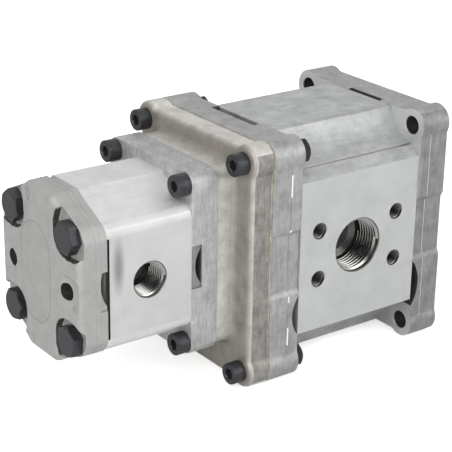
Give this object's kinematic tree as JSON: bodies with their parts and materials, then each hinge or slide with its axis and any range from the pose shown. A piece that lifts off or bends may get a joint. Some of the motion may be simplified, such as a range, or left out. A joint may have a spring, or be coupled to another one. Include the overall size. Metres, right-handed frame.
{
  "type": "tandem gear pump",
  "caption": "Tandem gear pump: pump sections joined by a cast adapter on one shaft line, with a rectangular mounting flange, tapered keyed shaft and threaded ports on both sides.",
  "frame": {"origin": "centre of the pilot on the mounting face", "axes": "+X along the drive shaft, out of the pump towards the motor; +Z from the driven gear up to the drive gear; -Y out of the inlet ports"},
  "size_m": [0.2871, 0.1194, 0.1492],
  "materials": {
    "front_flange": "as-cast, mounting face machined",
    "shaft_seal": "moulded nitrile",
    "seal_circlip": "phosphated spring steel",
    "front_body": "extruded, port faces milled",
    "front_body_seals": "moulded nitrile",
    "front_block_a": "machined",
    "front_block_b": "machined",
    "front_bushes": "lined bronze",
    "front_pressure_seals": "moulded",
    "front_drive_gear": "ground steel",
    "front_driven_gear": "ground steel",
    "shaft_key": "bright drawn steel",
    "shaft_washer": "zinc plated",
    "shaft_nut": "zinc plated",
    "front_dowels": "ground steel",
    "front_tie_screws": "black oxide",
    "middle_cover": "as-cast, faces machined",
    "coupling_seal": "moulded nitrile",
    "adapter_gasket": "pressed fibre sheet",
    "adapter_housing": "sand cast",
    "adapter_screws": "black oxide",
    "adapter_nuts": "black oxide",
    "adapter_o_ring": "moulded nitrile",
    "coupling_sleeve": "machined steel",
    "rear_flange": "as-cast, faces machined",
    "rear_flange_screws": "black oxide",
    "rear_body": "extruded, port faces milled",
    "rear_body_seals": "moulded nitrile",
    "rear_block_a": "machined",
    "rear_block_b": "machined",
    "rear_bushes": "lined bronze",
    "rear_pressure_seals": "moulded",
    "rear_drive_gear": "ground steel",
    "rear_driven_gear": "ground steel",
    "rear_dowels": "ground steel",
    "rear_cover": "die cast, end face machined",
    "rear_cover_bolts": "black oxide"
  },
  "bodies": {
    "housing": {"front_flange": "front_flange", "shaft_seal": "shaft_seal", "seal_circlip": "seal_circlip", "front_body": "front_body", "front_body_seals": "front_body_seals", "front_block_a": "front_block_a", "front_block_b": "front_block_b", "front_bushes": "front_bushes", "front_pressure_seals": "front_pressure_seals", "front_dowels": "front_dowels", "front_tie_screws": "front_tie_screws", "middle_cover": "middle_cover", "coupling_seal": "coupling_seal", "adapter_gasket": "adapter_gasket", "adapter_housing": "adapter_housing", "adapter_screws": "adapter_screws", "adapter_nuts": "adapter_nuts", "adapter_o_ring": "adapter_o_ring", "rear_flange": "rear_flange", "rear_flange_screws": "rear_flange_screws", "rear_body": "rear_body", "rear_body_seals": "rear_body_seals", "rear_block_a": "rear_block_a", "rear_block_b": "rear_block_b", "rear_bushes": "rear_bushes", "rear_pressure_seals": "rear_pressure_seals", "rear_dowels": "rear_dowels", "rear_cover": "rear_cover", "rear_cover_bolts": "rear_cover_bolts"},
    "front_drive": {"front_drive_gear": "front_drive_gear", "shaft_key": "shaft_key", "shaft_washer": "shaft_washer", "shaft_nut": "shaft_nut", "coupling_sleeve": "coupling_sleeve"},
    "front_driven": {"front_driven_gear": "front_driven_gear"},
    "rear_drive": {"rear_drive_gear": "rear_drive_gear"},
    "rear_driven": {"rear_driven_gear": "rear_driven_gear"}
  },
  "joints": [
    {"name": "drive_shaft_spin", "type": "hinge", "parent": "housing", "child": "front_drive", "pos_m": [0, 0, 0], "axis": [1, 0, 0], "continuous": true},
    {"name": "front_driven_spin", "type": "hinge", "parent": "housing", "child": "front_driven", "pos_m": [0, 0, -0.0462], "axis": [1, 0, 0], "continuous": true},
    {"name": "rear_drive_spin", "type": "hinge", "parent": "housing", "child": "rear_drive", "pos_m": [0, 0, 0], "axis": [1, 0, 0], "continuous": true},
    {"name": "rear_driven_spin", "type": "hinge", "parent": "housing", "child": "rear_driven", "pos_m": [0, 0, -0.0348], "axis": [1, 0, 0], "continuous": true}
  ],
  "couplings": [
    {"joint": "front_driven_spin", "follows": "drive_shaft_spin", "ratio": -1},
    {"joint": "rear_drive_spin", "follows": "drive_shaft_spin", "ratio": 1},
    {"joint": "rear_driven_spin", "follows": "drive_shaft_spin", "ratio": -1}
  ]
}
